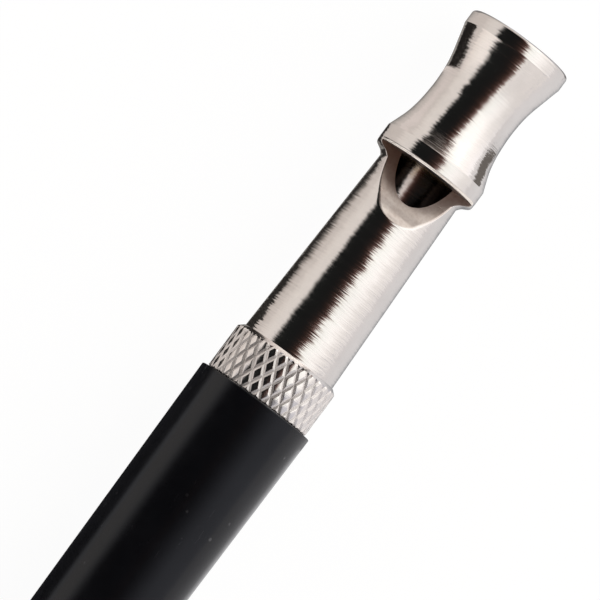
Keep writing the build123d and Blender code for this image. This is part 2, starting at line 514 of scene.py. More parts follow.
def nickel(name, marks=1.0, rough=0.10, tint=(0.90, 0.865, 0.84), wander=1.0, side=None, shade_the_bore=False, cut=False, grooves=False):
    """Bright nickel plate over turned brass: fine rings from the lathe, faint clouding."""
    m, k, b = material(name)
    tc, x, cs, sn, y, z = around(k)
    b.inputs["Metallic"].default_value = 1.0
    # rings: very fine along the axis, changing slowly round it
    ring_vec = k.combine(k.math("MULTIPLY", x, 11.0), k.math("MULTIPLY", cs, 1.1), k.math("MULTIPLY", sn, 1.1))
    rings = k.noise(ring_vec, 1.0, 3.0, 0.6)
    coarse_vec = k.combine(k.math("MULTIPLY", x, 2.4), k.math("MULTIPLY", cs, 1.6), k.math("MULTIPLY", sn, 1.6))
    coarse = k.noise(coarse_vec, 1.0, 2.0, 0.5)
    # each turned ring leans a little its own way round the axis
    lean = k.math("MULTIPLY_ADD", rings, 0.34 * wander, -0.17 * wander)
    lean = k.math("ADD", lean, k.math("MULTIPLY_ADD", coarse, 0.05 * wander, -0.025 * wander))
    lean = k.math("ADD", lean, k.math("MULTIPLY_ADD", k.noise(coarse_vec, 0.42, 1.0, 0.5), 0.07 * wander, -0.035 * wander))
    if side:
        lean = k.math("MULTIPLY", lean, k.ramp(k.math("MULTIPLY_ADD", sn, 0.5, 0.5), side))
    tangent = k.combine(0.0, k.math("MULTIPLY", cs, lean), k.math("MULTIPLY", k.math("MULTIPLY", sn, -1.0), lean))
    add = k.t.nodes.new("ShaderNodeVectorMath")
    add.operation = "ADD"
    k.link(tc.outputs["Normal"], add.inputs[0])
    k.link(tangent, add.inputs[1])
    leaned = add.outputs[0]
    if cut:
        near = k.math("MULTIPLY_ADD", under_cut(k, x, z), -0.435 / EDGE, 0.5, clamp=True)
        leaned = lean_to(k, leaned, (0.48, 0.0, 0.877), near)
    bump = k.bump(rings, 0.50 * marks, 0.000030, to_world(k, leaned))
    bump = k.bump(coarse, 0.30 * marks, 0.00004, bump)
    k.link(bump, b.inputs["Normal"])
    cloud = k.noise(tc.outputs["Object"], 420.0, 4.0, 0.6)
    col = k.ramp(cloud, [(0.30, tuple(c * 0.93 for c in tint)), (0.62, tint)])
    if shade_the_bore:
        down = k.math("MULTIPLY_ADD", z, 0.4, 1.0)           # 0 at the bottom of the bore, 1 at the axis
        # painted shade: the bore's colour darkens from its lit bottom to near black up the walls and top
        bore_shade = k.ramp(down, [(0.0, (0.74, 0.68, 0.68)), (0.09, (0.55, 0.50, 0.50)), (0.20, (0.14, 0.12, 0.12)), (0.6, (0.05, 0.045, 0.045))])
        col = k.mix(1.0, col, bore_shade, "MULTIPLY")
    k.link(col, b.inputs["Base Color"])
    rg = k.ramp(k.noise(coarse_vec, 1.7, 3.0, 0.6), [(0.25, rough * 0.7), (0.75, rough * 1.5)])
    if grooves:
        # the pressed grooves are left dull
        far = k.math("SQRT", k.math("ADD", k.math("MULTIPLY", y, y), k.math("MULTIPLY", z, z)))
        down = k.math("MULTIPLY_ADD", far, -1 / 0.022, (4.10 - 0.004) / 0.022, clamp=True)
        down = k.math("MULTIPLY", down, k.math("MULTIPLY_ADD", x, -20.0, 20.0 * (3.36 + X0), clamp=True))
        k.link(k.math("MULTIPLY_ADD", down, -0.45, 1.0), b.inputs["Metallic"])
        rg = k.math("ADD", k.math("MULTIPLY", rg, k.math("SUBTRACT", 1.0, down)), k.math("MULTIPLY", down, 0.40))
    k.link(rg, b.inputs["Roughness"])
    return m


def milled_nickel(name):
    """The scooped cut: plated after milling, so duller, with the cutter's chatter across it."""
    m, k, b = material(name)
    tc, x, cs, sn, y, z = around(k)
    b.inputs["Metallic"].default_value = 1.0
    vec = k.combine(k.math("MULTIPLY", x, 3.4), k.math("MULTIPLY", y, 0.5), k.math("MULTIPLY", z, 0.5))
    chat = k.noise(vec, 1.3, 3.0, 0.6)
    far = k.math("SQRT", k.math("ADD", k.math("MULTIPLY", y, y), k.math("MULTIPLY", z, z)))
    deep = k.math("SUBTRACT", k.math("MULTIPLY_ADD", x, -0.0308, 3.68 + 0.0308 * (3.70 + X0)), far)
    near = k.math("MINIMUM", k.math("MULTIPLY_ADD", deep, -0.5 / EDGE, 0.5, clamp=True), 0.5)
    near = k.math("MULTIPLY", near, k.math("MULTIPLY_ADD", x, -8.0, 8.0 * (18.55 + X0), clamp=True))
    rounded = lean_to(k, tc.outputs["Normal"], k.combine(0.0, sn, cs), near)
    k.link(k.bump(chat, 0.22, 0.00005, to_world(k, rounded)), b.inputs["Normal"])
    col = k.ramp(k.noise(tc.outputs["Object"], 900.0, 4.0, 0.6), [(0.3, (0.80, 0.72, 0.67)), (0.7, (0.95, 0.895, 0.85))])
    fleck = k.ramp(k.noise(tc.outputs["Object"], 4200.0, 3.0, 0.6), [(0.34, (0.90, 0.885, 0.875)), (0.60, (1.0, 1.0, 1.0))])
    col = k.mix(1.0, col, fleck, "MULTIPLY")
    # painted shade: darkens and browns the cut's left wall from u = 16 on towards the mouth end
    up = k.math("MULTIPLY_ADD", x, 0.60, -0.60 * (16.0 + X0), clamp=True)
    left = k.ramp(k.math("MULTIPLY_ADD", y, 0.20, 0.5), [(0.10, (0.82, 0.80, 0.79)), (0.42, (0.78, 0.75, 0.74)), (0.74, (0.55, 0.485, 0.455)), (0.92, (0.64, 0.58, 0.545))])
    col = k.mix(up, col, k.mix(1.0, col, left, "MULTIPLY"))
    k.link(col, b.inputs["Base Color"])
    k.link(k.ramp(chat, [(0.2, 0.26), (0.8, 0.36)]), b.inputs["Roughness"])
    return m


def lacquer(name):
    """Gloss black lacquer: a little orange peel, hairline scratches and specks."""
    m, k, b = material(name)
    tc, x, cs, sn, y, z = around(k)
    peel = k.noise(tc.outputs["Object"], 1500.0, 2.0, 0.5)
    lines_vec = k.combine(k.math("MULTIPLY", x, 0.30), k.math("MULTIPLY", cs, 9.0), k.math("MULTIPLY", sn, 9.0))
    lines = k.noise(lines_vec, 1.4, 6.0, 0.75)
    hair = k.ramp(lines, [(0.63, 0.0), (0.68, 1.0)])
    vor = k.t.nodes.new("ShaderNodeTexVoronoi")
    vor.inputs["Scale"].default_value = 520.0
    k.link(tc.outputs["Object"], vor.inputs["Vector"])
    speck = k.ramp(vor.outputs["Distance"], [(0.045, 1.0), (0.09, 0.0)])
    where = k.ramp(k.noise(tc.outputs["Object"], 130.0, 2.0, 0.5), [(0.50, 0.0), (0.64, 1.0)])
    marks = k.math("MULTIPLY", k.math("MAXIMUM", k.math("MULTIPLY", hair, 0.35), speck), where, clamp=True)
    haze = k.noise(tc.outputs["Object"], 190.0, 3.0, 0.55)
    under = k.ramp(haze, [(0.35, (0.0056, 0.0058, 0.0076)), (0.68, (0.0092, 0.0096, 0.0124))])
    col = k.mix(marks, under, (0.15, 0.15, 0.16))
    k.link(col, b.inputs["Base Color"])
    k.link(k.ramp(peel, [(0.3, 0.19), (0.7, 0.25)]), b.inputs["Roughness"])
    b.inputs["Specular IOR Level"].default_value = 0.36
    b.inputs["Specular Tint"].default_value = (0.90, 0.945, 1.0, 1.0)
    b.inputs["Coat Weight"].default_value = 0.16
    b.inputs["Coat Roughness"].default_value = 0.14
    n1 = k.bump(peel, 0.10, 0.00002)
    n2 = k.bump(marks, 0.30, 0.00001, n1)
    k.link(n2, b.inputs["Normal"])
    return m


def brass(name):
    m, k, b = material(name)
    tc, x, cs, sn, y, z = around(k)
    b.inputs["Metallic"].default_value = 1.0
    vec = k.combine(k.math("MULTIPLY", x, 7.0), k.math("MULTIPLY", cs, 1.0), k.math("MULTIPLY", sn, 1.0))
    rings = k.noise(vec, 1.0, 3.0, 0.6)
    k.link(k.bump(rings, 0.45, 0.00003), b.inputs["Normal"])
    cloud = k.noise(tc.outputs["Object"], 520.0, 4.0, 0.65)
    k.link(k.ramp(cloud, [(0.30, (0.55, 0.38, 0.16)), (0.55, (0.78, 0.60, 0.30)), (0.75, (0.86, 0.69, 0.38))]), b.inputs["Base Color"])
    k.link(k.ramp(cloud, [(0.3, 0.34), (0.7, 0.20)]), b.inputs["Roughness"])
    return m


def ring_steel(name):
    m, k, b = material(name)
    tc = k.t.nodes.new("ShaderNodeTexCoord")
    b.inputs["Metallic"].default_value = 1.0
    cloud = k.noise(tc.outputs["Object"], 700.0, 4.0, 0.6)
    fine = k.noise(tc.outputs["Object"], 5200.0, 2.0, 0.5)
    k.link(k.ramp(cloud, [(0.3, (0.70, 0.70, 0.71)), (0.7, (0.84, 0.83, 0.82))]), b.inputs["Base Color"])
    k.link(k.ramp(cloud, [(0.3, 0.14), (0.7, 0.24)]), b.inputs["Roughness"])
    k.link(k.bump(fine, 0.12, 0.00002), b.inputs["Normal"])
    return m


# how strongly the turned rings waver, from the -Y side round the top to the +Y side
WAVER = [(0.0, 0.8), (0.33, 1.7), (0.46, 1.7), (0.58, 0.6), (0.73, 0.40), (0.83, 0.7), (0.92, 1.6), (1.0, 1.8)]
M_NICKEL = nickel("nickel_turned", side=WAVER, cut=True)
M_HEAD = nickel("nickel_polished", marks=0.75, rough=0.09, wander=0.8)
M_KNURL = nickel("nickel_knurled", marks=0.35, rough=0.13, tint=(0.97, 0.93, 0.905), wander=0.0, grooves=True)
M_MILLED = milled_nickel("nickel_milled")
# the bore's colour carries painted shade, darker towards the top
M_BORE = nickel("nickel_bore", marks=0.5, rough=0.13, wander=0.35, shade_the_bore=True)
M_BLACK = lacquer("black_lacquer_gloss")
M_BRASS = brass("brass_turned")
M_RING = ring_steel("ring_spring_steel")


def dress(ob, body, replaced, slot, *mats):
    for m in mats:
        if m.name not in [x.name for x in ob.data.materials if x]:
            ob.data.materials.append(m)
    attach(ob, body)
    if replaced:
        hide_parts(*replaced)
    return ob


# ---------------------------------------------------------------------------
# body tube with its window
# ---------------------------------------------------------------------------
TUBE = [
    (19.44, 4.02, 0.04), (19.62, 4.02, 0.015), (19.62, 2.90, 0), (21.80, 2.90, 0),
    (21.80, BORE_R, 0), (1.25, BORE_R, 0), (1.25, 3.15, 0), (3.70, 3.15, 0), (3.70, 3.68, 0),
]
_flare = catmull([(18.62, 3.22), (18.93, 3.48), (19.20, 3.92), (19.35, 4.00), (19.44, 4.02)], 5)
TUBE += [(_flare[0][0], _flare[0][1], 0.25)] + [(u, r, None) for u, r in _flare[1:-1]]

tube = lathe("tube", TUBE, n=224)
loop = []
for _i in range(81):
    u = 14.2 + (19.44 - 14.2) * _i / 80
    loop.append((u, cut_z(u)))
loop += [(19.44, 9.0), (14.2, 9.0)]
tube = boolean(tube, extruded("cutter", loop, -8, 8), "DIFFERENCE")
tube.data.materials.clear()
for _m in (M_NICKEL, M_MILLED, M_BORE):
    tube.data.materials.append(_m)
true_normals(tube, [surf_cyl_x(BORE_R, True), surf_profile(TUBE), surf_cut(),
                    surf_plane(0, 19.44, -1.0)], slots=[2, 0, 1, 1])
dress(tube, "whistle_body", ["body_tube"], "nickel")

# ---------------------------------------------------------------------------
# mouthpiece
# ---------------------------------------------------------------------------
waist = catmull(WAIST, 6)
MOUTH = [
    (19.62, 4.01, 0), (19.62, 2.90, 0), (21.80, 2.90, 0), (21.80, BORE_R, 0), (30.20, BORE_R, 0.08),
    (30.50, 2.80, 0.06), (30.50, 4.00, 0.24), (29.43, 4.00, 0.05),
] + [(u, r, None) for u, r in waist[::-1][1:]] + [(20.66, 4.03, 0.04), (19.64, 4.03, 0.015)]
mouth = lathe("mouthpiece_spool", MOUTH, n=224, arc=6)
dress(mouth, "whistle_body", ["mouthpiece"], "nickel", M_HEAD)

# ---------------------------------------------------------------------------
# knurled collar: diamonds left between two crossing sets of V grooves
# ---------------------------------------------------------------------------
KN, KP, KW, KD = 30, 1.68, 0.255, 0.095
COL_R = 4.10
GROOVE = [(0.0, -KD), (0.60 * KW, -0.24 * KD), (0.82 * KW, -0.06 * KD), (KW, 0.0)]


def knurl_prism(name, u0, u1):
    cells, verts, faces = {}, [], []
    steps = [g[0] for g in GROOVE] + [1 - g[0] for g in GROOVE[::-1]]
    deep = [g[1] for g in GROOVE] + [g[1] for g in GROOVE[::-1]]
    last = len(steps) - 1
    rows = int((u1 - u0) / KP) + 3

    def vid(a, b, ia, ib):
        al, be = a + steps[ia], b + steps[ib]
        key = (round(al * 1000), round(be * 1000))
        # the same place one turn on: (a + N, b + N)
        turn = math.floor((al + be) / (2 * KN) + 1e-6)
        key = (round((al - turn * KN) * 1000), round((be - turn * KN) * 1000))
        if key not in cells:
            cells[key] = len(verts)
            phi = math.pi * (al + be) / KN
            u = KP / 2 * (al - be) + u0
            verts.append((phi, u, COL_R + min(deep[ia], deep[ib])))
        return cells[key]

    for d in range(-2, 2 * rows):           # d = a - b picks the row
        for a in range(0, 2 * KN):
            b = a - d
            if not 0 <= a + b < 2 * KN:
                continue
            for ia in range(last):
                for ib in range(last):
                    q = [vid(a, b, ia, ib), vid(a, b, ia + 1, ib), vid(a, b, ia + 1, ib + 1), vid(a, b, ia, ib + 1)]
                    low_a, low_b = ia < 3, ib < 3
                    if ia == 3 or ib == 3:
                        faces.append(q)
                    elif low_a == low_b:
                        faces += [[q[0], q[1], q[2]], [q[0], q[2], q[3]]]
                    else:
                        faces += [[q[0], q[1], q[3]], [q[1], q[2], q[3]]]
    co = [P(u, r * math.sin(phi), r * math.cos(phi)) for phi, u, r in verts]
    ob = mesh_object(name, co, faces, smooth=False)
    bm = bmesh.new()
    bm.from_mesh(ob.data)
    bmesh.ops.remove_doubles(bm, verts=bm.verts, dist=2e-6)
    for pos, keep in ((u0, 1), (u1, -1)):
        geom = bm.verts[:] + bm.edges[:] + bm.faces[:]
        bmesh.ops.bisect_plane(bm, geom=geom, dist=1e-8, plane_co=P(pos), plane_no=(keep, 0, 0), clear_inner=True)
    bmesh.ops.holes_fill(bm, edges=[e for e in bm.edges if e.is_boundary], sides=0)
    bmesh.ops.recalc_face_normals(bm, faces=bm.faces)
    bm.to_mesh(ob.data)
    bm.free()
    return ob


GRIP = [
    (3.70, 3.15, 0), (3.70, 3.76, 0.05), (3.36, 4.14, 0), (0.10, 4.14, 0), (0.0, 4.00, 0), (0.0, 3.15, 0),
]
grip = lathe("collar_grip", GRIP, n=240)
prism = knurl_prism("knurl", -1.98, 4.6)
grip = boolean(grip, prism, "INTERSECT")
bm = bmesh.new()
bm.from_mesh(grip.data)
for f in bm.faces:
    f.smooth = True
for e in bm.edges:
    e.smooth = not (len(e.link_faces) == 2 and e.calc_face_angle(0) > math.radians(27))
bm.to_mesh(grip.data)
bm.free()
dress(grip, "whistle_body", ["knurled_collar"], "nickel", M_KNURL)


def threaded(name, u0, u1, major, minor, pitch, bore, n=72, per=8, chamfer=0.3, plain=(), hand=1.0):
    """A tube or rod with a real helical thread between u0 and u1. plain: (from, to, radius) stretches."""
    du = pitch / per
    rows = max(2, int(math.ceil((u1 - u0) / du)) + 1)
    us = [u0 + (u1 - u0) * i / (rows - 1) for i in range(rows)]
    for a, b, _r in plain:
        us += [a, b, a + 1e-4, b - 1e-4]
    us = sorted(set(round(u, 5) for u in us if u0 <= u <= u1))
    co, faces = [], []

    def rad(u, phi):
        for a, b, r in plain:
            if a <= u <= b:
                return r
        f = (u / pitch - hand * phi / (2 * math.pi)) % 1.0
        tri = abs(2 * f - 1)                     # 1 at the root, 0 at the crest
        h = min(1.0, max(0.0, (tri - 0.12) / 0.76))
        r = major - (major - minor) * h
        return min(r, minor + (u - u0) + (major - minor - chamfer), minor + (u1 - u) + (major - minor - chamfer)) if chamfer else r

    for u in us:
        for j in range(n):
            phi = 2 * math.pi * j / n
            r = max(rad(u, phi), minor - 0.05)
            co.append(P(u, r * math.sin(phi), r * math.cos(phi)))
    for i in range(len(us) - 1):
        for j in range(n):
            j2 = (j + 1) % n
            faces.append([i * n + j, i * n + j2, (i + 1) * n + j2, (i + 1) * n + j])
    last = (len(us) - 1) * n
    if bore > 0:
        b0 = len(co)
        for u in (us[0], us[-1]):
            for j in range(n):
                phi = 2 * math.pi * j / n
                co.append(P(u, bore * math.sin(phi), bore * math.cos(phi)))
        for j in range(n):
            j2 = (j + 1) % n
            faces.append([j, b0 + j, b0 + j2, j2])
            faces.append([last + j, last + j2, b0 + n + j2, b0 + n + j])
            faces.append([b0 + j, b0 + n + j, b0 + n + j2, b0 + j2])
    else:
        faces.append(list(range(n)))
        faces.append([last + j for j in range(n)][::-1])
    ob = mesh_object(name, co, faces, smooth=True)
    bm = bmesh.new()
    bm.from_mesh(ob.data)
    bmesh.ops.recalc_face_normals(bm, faces=bm.faces)
    for e in bm.edges:
        if len(e.link_faces) == 2 and e.calc_face_angle(0) > math.radians(48):
            e.smooth = False
    bm.to_mesh(ob.data)
    bm.free()
    return ob


spigot = threaded("collar_thread", -4.0, 0.0, 3.50, 3.20, 0.5, 2.05, n=120, chamfer=0.3, plain=((-0.42, 0.0, 3.2),))
dress(spigot, "whistle_body", [], "nickel", M_NICKEL)

screw = threaded("tuning_screw_rod", -15.0, 5.60, 2.00, 1.62, 0.7, 0.0, n=72, chamfer=0.3)
slot_cut = extruded("slot", [(-16.0, -3.0), (-13.7, -3.0), (-13.7, 3.0), (-16.0, 3.0)], -0.4, 0.4)
screw = boolean(screw, slot_cut, "DIFFERENCE")
dress(screw, "tuning_screw", ["adjusting_screw"], "brass", M_BRASS)
tip = lathe("tuning_screw_tip", [(7.10, 0.0, 0), (7.10, 1.20, 0.15), (5.40, 1.20, 0), (5.40, 0.0, 0)], n=64)
dress(tip, "tuning_screw", [], "brass", M_BRASS)

# ---------------------------------------------------------------------------
# lock nut: a thin ring with a coin edge
# ---------------------------------------------------------------------------
def coin_nut(name):
    teeth, sub = 36, 6
    n = teeth * sub
    prof = [(-4.03, 2.05), (-4.03, 2.62), (-4.25, 3.0), (-6.21, 3.0), (-6.43, 2.62), (-6.43, 2.05)]
    co, faces = [], []
    for u, r in prof:
        for j in range(n):
            phi = 2 * math.pi * j / n
            rr = r
            if r > 2.9:
                rr = r - 0.16 * abs(math.sin(math.pi * j / sub)) ** 1.5
            co.append(P(u, rr * math.sin(phi), rr * math.cos(phi)))
    for i in range(len(prof)):
        i2 = (i + 1) % len(prof)
        for j in range(n):
            j2 = (j + 1) % n
            faces.append([i * n + j, i * n + j2, i2 * n + j2, i2 * n + j])
    ob = mesh_object(name, co, faces, smooth=True)
    bm = bmesh.new()
    bm.from_mesh(ob.data)
    bmesh.ops.recalc_face_normals(bm, faces=bm.faces)
    for e in bm.edges:
        if len(e.link_faces) == 2 and e.calc_face_angle(0) > math.radians(35):
            e.smooth = False
    bm.to_mesh(ob.data)
    bm.free()
    return ob


nut = coin_nut("lock_nut_ring")
dress(nut, "jam_nut", ["lock_nut"], "brass", M_BRASS)

# ---------------------------------------------------------------------------
# sleeve and tail plug
# ---------------------------------------------------------------------------
SLEEVE = [
    (-0.08, 3.73, 0.05), (-0.08, 4.50, 0.07), (-44.0, 4.00, 0.04), (-44.0, 3.30, 0),
    (-5.2, 3.30, 0), (-5.2, 3.55, 0), (-0.26, 3.55, 0),
]
sleeve = lathe("sleeve_barrel", SLEEVE, n=224)
dress(sleeve, "black_sleeve", ["sleeve"], "black_lacquer", M_BLACK)

TAIL = [
    (-39.5, 0.0, 0), (-39.5, 3.0, 0), (-39.8, 3.30, 0), (-44.0, 3.30, 0), (-44.0, 4.0, 0.04),
    (-44.35, 4.0, 0.12), (-45.0, 3.35, 0.12), (-45.0, 1.45, 0.22), (-45.9, 1.45, 0), (-45.9, 0.0, 0),
]
tail = lathe("tail_cap", TAIL, n=192)
dress(tail, "black_sleeve", ["tail_plug"], "black_lacquer", M_BLACK)


def tail_knob(name):
    """Ball with two flats and an eye through it."""
    bm = bmesh.new()
    bmesh.ops.create_uvsphere(bm, u_segments=96, v_segments=64, radius=2.5 / 1000)
    bmesh.ops.rotate(bm, verts=bm.verts, cent=(0, 0, 0), matrix=Matrix.Rotation(math.radians(90), 3, "Y"))
    bmesh.ops.translate(bm, verts=bm.verts, vec=P(-47.5))
    me = bpy.data.meshes.new(name)
    bm.to_mesh(me)
    bm.free()
    ob = bpy.data.objects.new(name, me)
    bpy.context.scene.collection.objects.link(ob)
    flats = extruded("flats", [(-51, -4), (-45.1, -4), (-45.1, 4), (-51, 4)], -1.6, 1.6)
    ob = boolean(ob, flats, "INTERSECT")
    hole = [(-47.7 + 1.25 * math.cos(2 * math.pi * i / 96), 1.25 * math.sin(2 * math.pi * i / 96)) for i in range(96)]
    ob = boolean(ob, extruded("eye", hole, -3, 3), "DIFFERENCE")
    true_normals(ob, [surf_sphere(-47.5, 2.5), surf_plane(1, -1.6, -1.0), surf_plane(1, 1.6, 1.0),
                      surf_cyl_y(-47.7, 0.0, 1.25, True), surf_plane(0, -45.1, 1.0)])
    return ob


knob = tail_knob("tail_knob")
dress(knob, "black_sleeve", [], "black_lacquer", M_BLACK)

# ---------------------------------------------------------------------------
# split ring
# ---------------------------------------------------------------------------
def split_ring(name):
    mean, a, b, rc = 6.40, 0.50, 0.43, 0.13
    pitch, cross, at = 0.90, math.radians(14), math.radians(100)
    lo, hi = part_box("split_ring")
    # the ring's tilt about the eye, so that its far edge rests on the ground
    drop = 15.0
    for _ in range(20):
        drop = math.degrees(math.asin((H - 0.016 - 0.88 * math.cos(math.radians(drop))) / 13.3))
    place = (Matrix.Translation(P(-47.7)) @ Matrix.Rotation(math.radians(-drop), 4, "Y")
             @ Matrix.Translation(Vector((-mean / 1000, 0, 0))) @ Matrix.Rotation(at, 4, "Z"))
    sec = []
    for cx, cy, a0 in ((a - rc, b - rc, 0), (-(a - rc), b - rc, 90), (-(a - rc), -(b - rc), 180), (a - rc, -(b - rc), 270)):
        for k in range(5):
            t = math.radians(a0 + 90 * k / 4)
            sec.append((cx + rc * math.cos(t), cy + rc * math.sin(t)))
    m = len(sec)
    steps = 300
    total = 4 * math.pi - 2 * cross
    co, faces = [], []

    def ringpoint(th, s, shrink=0.0):
        if th < 2 * math.pi - cross:
            z = -pitch / 2
        elif th > 2 * math.pi + cross:
            z = pitch / 2
        else:
            t = (th - (2 * math.pi - cross)) / (2 * cross)
            z = -pitch / 2 + pitch * t
        r = mean + s[0] * (1 - shrink)
        return place @ Vector((r * math.cos(th) / 1000, r * math.sin(th) / 1000, (z + s[1] * (1 - shrink)) / 1000))

    ths = [cross + total * i / steps for i in range(steps + 1)]
    ths = sorted(set(ths + [2 * math.pi - cross + 2 * cross * i / 12 for i in range(13)]))
    ease = 0.006
    stations = [(ths[0], 0.12)] + [(ths[0] + ease, 0.0)] + [(t, 0.0) for t in ths[1:-1]] + [(ths[-1] - ease, 0.0)] + [(ths[-1], 0.12)]
    for th, sh in stations:
        for s in sec:
            co.append(ringpoint(th, s, sh))
    for i in range(len(stations) - 1):
        for j in range(m):
            j2 = (j + 1) % m
            faces.append([i * m + j, i * m + j2, (i + 1) * m + j2, (i + 1) * m + j])
    faces.append(list(range(m)))
    last = (len(stations) - 1) * m
    faces.append([last + j for j in range(m)][::-1])
    ob = mesh_object(name, co, faces, smooth=True)
    bm = bmesh.new()
    bm.from_mesh(ob.data)
    bmesh.ops.recalc_face_normals(bm, faces=bm.faces)
    for e in bm.edges:
        if len(e.link_faces) == 2 and e.calc_face_angle(0) > math.radians(40):
            e.smooth = False
    bm.to_mesh(ob.data)
    bm.free()
    return ob


ring = split_ring("split_ring_wire")
dress(ring, "key_ring", ["split_ring"], "ring_steel", M_RING)

# nodes kept from the CAD
for node, mat in (("windway_plug", M_BRASS), ("piston", M_BRASS)):
    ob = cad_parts[node]
    ob.data.materials.clear()
    ob.data.materials.append(mat)

# ---------------------------------------------------------------------------
# floor, light, camera
# ---------------------------------------------------------------------------
def panel(name, x0, x1, y0, y1, z, mat):
    co = [Vector((x0, y0, z)), Vector((x1, y0, z)), Vector((x1, y1, z)), Vector((x0, y1, z))]
    ob = mesh_object(name, co, [[0, 1, 2, 3]], smooth=False)
    ob.data.materials.append(mat)
    return ob


m_floor, k, b = material("floor_white")
tc = k.t.nodes.new("ShaderNodeTexCoord")
k.link(k.ramp(k.noise(tc.outputs["Object"], 14.0, 2.0, 0.5), [(0.3, (0.10, 0.10, 0.10)), (0.7, (0.11, 0.11, 0.11))]), b.inputs["Base Color"])
b.inputs["Roughness"].default_value = 0.9
b.inputs["Specular IOR Level"].default_value = 0.0
b.inputs["Emission Color"].default_value = (1.0, 1.0, 1.0, 1.0)
b.inputs["Emission Strength"].default_value = 0.955
panel("floor", -2.0, 2.0, -2.0, 2.0, -0.00002, m_floor)


def card(name, corners, colour, fade=None):
    """A glowing card seen only in reflections: a painted reflection, not a lamp. corners: (u, y, height) in mm. fade:
    a list of (y, colour) that grades it across, else it is one colour."""
    m, kk, bb = material(name + "_card")
    bb.inputs["Base Color"].default_value = (0.0, 0.0, 0.0, 1.0)
    bb.inputs["Roughness"].default_value = 1.0
    bb.inputs["Specular IOR Level"].default_value = 0.0
    if fade:
        ys = [q[0] for q in fade]
        lo, hi = min(ys), max(ys)
        tcc = kk.t.nodes.new("ShaderNodeTexCoord")
        sp = kk.t.nodes.new("ShaderNodeSeparateXYZ")
        kk.link(tcc.outputs["Object"], sp.inputs[0])
        f = kk.math("MULTIPLY_ADD", sp.outputs[1], 1000.0 / (hi - lo), -lo / (hi - lo))
        kk.link(kk.ramp(f, sorted(((q[0] - lo) / (hi - lo), q[1]) for q in fade)), bb.inputs["Emission Color"])
    else:
        bb.inputs["Emission Color"].default_value = (*colour, 1.0)
    bb.inputs["Emission Strength"].default_value = 1.0
    co = [Vector(((u + X0) / 1000, y / 1000, z / 1000)) for u, y, z in corners]
    ob = mesh_object(name, co, [list(range(len(co)))], smooth=False)
    ob.data.materials.append(m)
    ob.visible_camera = False
    ob.visible_diffuse = False
    ob.visible_shadow = False
    ob.visible_transmission = False
    return ob


def flat(points, z):
    return [(u, y, z) for u, y in points]


# the floor as the metal sees it, a painted reflection: warmer to the left, with painted shadow close to the whistle
card("floor_near", flat([(-1500, -80), (1500, -80), (1500, 80), (-1500, 80)], 0.010), None, fade=[
    (-80, (0.73, 0.70, 0.70)), (-12, (0.72, 0.705, 0.71)), (-8, (0.66, 0.65, 0.655)), (-5.6, (0.40, 0.40, 0.41)), (-4, (0.20, 0.20, 0.21)),
    (4, (0.18, 0.17, 0.16)), (5.6, (0.34, 0.32, 0.30)), (8, (0.55, 0.50, 0.47)), (12, (0.60, 0.545, 0.51)), (80, (0.64, 0.585, 0.55))])
card("floor_far", flat([(-1500, -1500), (1500, -1500), (1500, 1500), (-1500, 1500)], 0.005), None, fade=[
    (-1500, (0.74, 0.72, 0.72)), (-80, (0.73, 0.70, 0.70)), (80, (0.64, 0.585, 0.55)), (1500, (0.68, 0.62, 0.585))])
# painted shade: dark sheets on the floor beside the whistle, seen only in its reflections
card("dark_left", flat([(0.8, 5.0), (21.2, 4.8), (21.2, 7.0), (20.0, 7.3), (18.8, 8.4), (18.2, 26), (0.8, 26)], 0.02), None, fade=[
    (5.0, (0.018, 0.016, 0.015)), (8.0, (0.03, 0.027, 0.025)), (11.5, (0.20, 0.18, 0.165)), (17.0, (0.50, 0.45, 0.42)), (26.0, (0.61, 0.555, 0.52))])
card("dark_left_low", flat([(0.8, 5.0), (13, 5.0), (10, 9.5), (7.5, 14.0), (5.2, 18.5), (0.8, 21.0)], 0.03), (0.02, 0.018, 0.016))
card("dark_left_sleeve", flat([(-90, 4.9), (0.8, 4.9), (0.8, 90), (-90, 90)], 0.02), None, fade=[
    (4.9, (0.010, 0.010, 0.012)), (24.0, (0.02, 0.02, 0.022)), (41.0, (0.60, 0.60, 0.62)), (90.0, (0.66, 0.64, 0.64))])
card("sleeve_left", flat([(-70, 1.2), (1.1, 1.2), (1.9, 12), (2.9, 22), (3.2, 25), (-70, 25)], H + 12), None, fade=[
    (1.2, (0.0095, 0.0100, 0.0100)), (11.5, (0.0095, 0.0100, 0.0100)), (14.0, (0.12, 0.115, 0.12)), (17.5, (0.40, 0.385, 0.385)), (25.0, (0.75, 0.71, 0.69))])
card("sleeve_edge", flat([(-90, -4.0), (-0.8, -4.0), (-0.8, -10.0), (-90, -10.0)], 0.02), (0.98, 0.97, 0.98))
# a dark shape that the upper left of the waist picks up, backed in white
card("wedge_low", flat([(26.26, 6.2), (29.5, 6.2), (29.5, 17), (27.5, 20), (26.26, 21)], 0.02), (0.012, 0.010, 0.009))
card("wedge_front", [(26.25, 3.7, 0.02), (26.25, 21, 0.02), (26.25, 19, 1.0), (26.25, 16, 2.1), (26.25, 12.4, 4.2), (26.25, 9.1, 5.6), (26.25, 6.3, 6.2), (26.25, 3.7, 6.7)], (0.012, 0.010, 0.009))
card("wedge_back", [(26.22, 3.6, 0.02), (26.22, 21.4, 0.02), (26.22, 19.4, 1.2), (26.22, 16.5, 2.5), (26.22, 12.8, 4.6), (26.22, 9.4, 6.0), (26.22, 6.5, 6.6), (26.22, 3.6, 7.1)], (0.70, 0.63, 0.60))
# a grey shape that the lower right of the waist picks up
card("grey_right", [(24.0, -5.4, 1.4), (24.0, -11, 1.6), (24.0, -11, 5.6), (24.0, -5.4, 6.3)], (0.15, 0.135, 0.125))
# shade under the mouth end
card("mouth_shade", flat([(31.5, -10), (46, -10), (46, 10), (31.5, 10)], 0.02), (0.22, 0.21, 0.21))
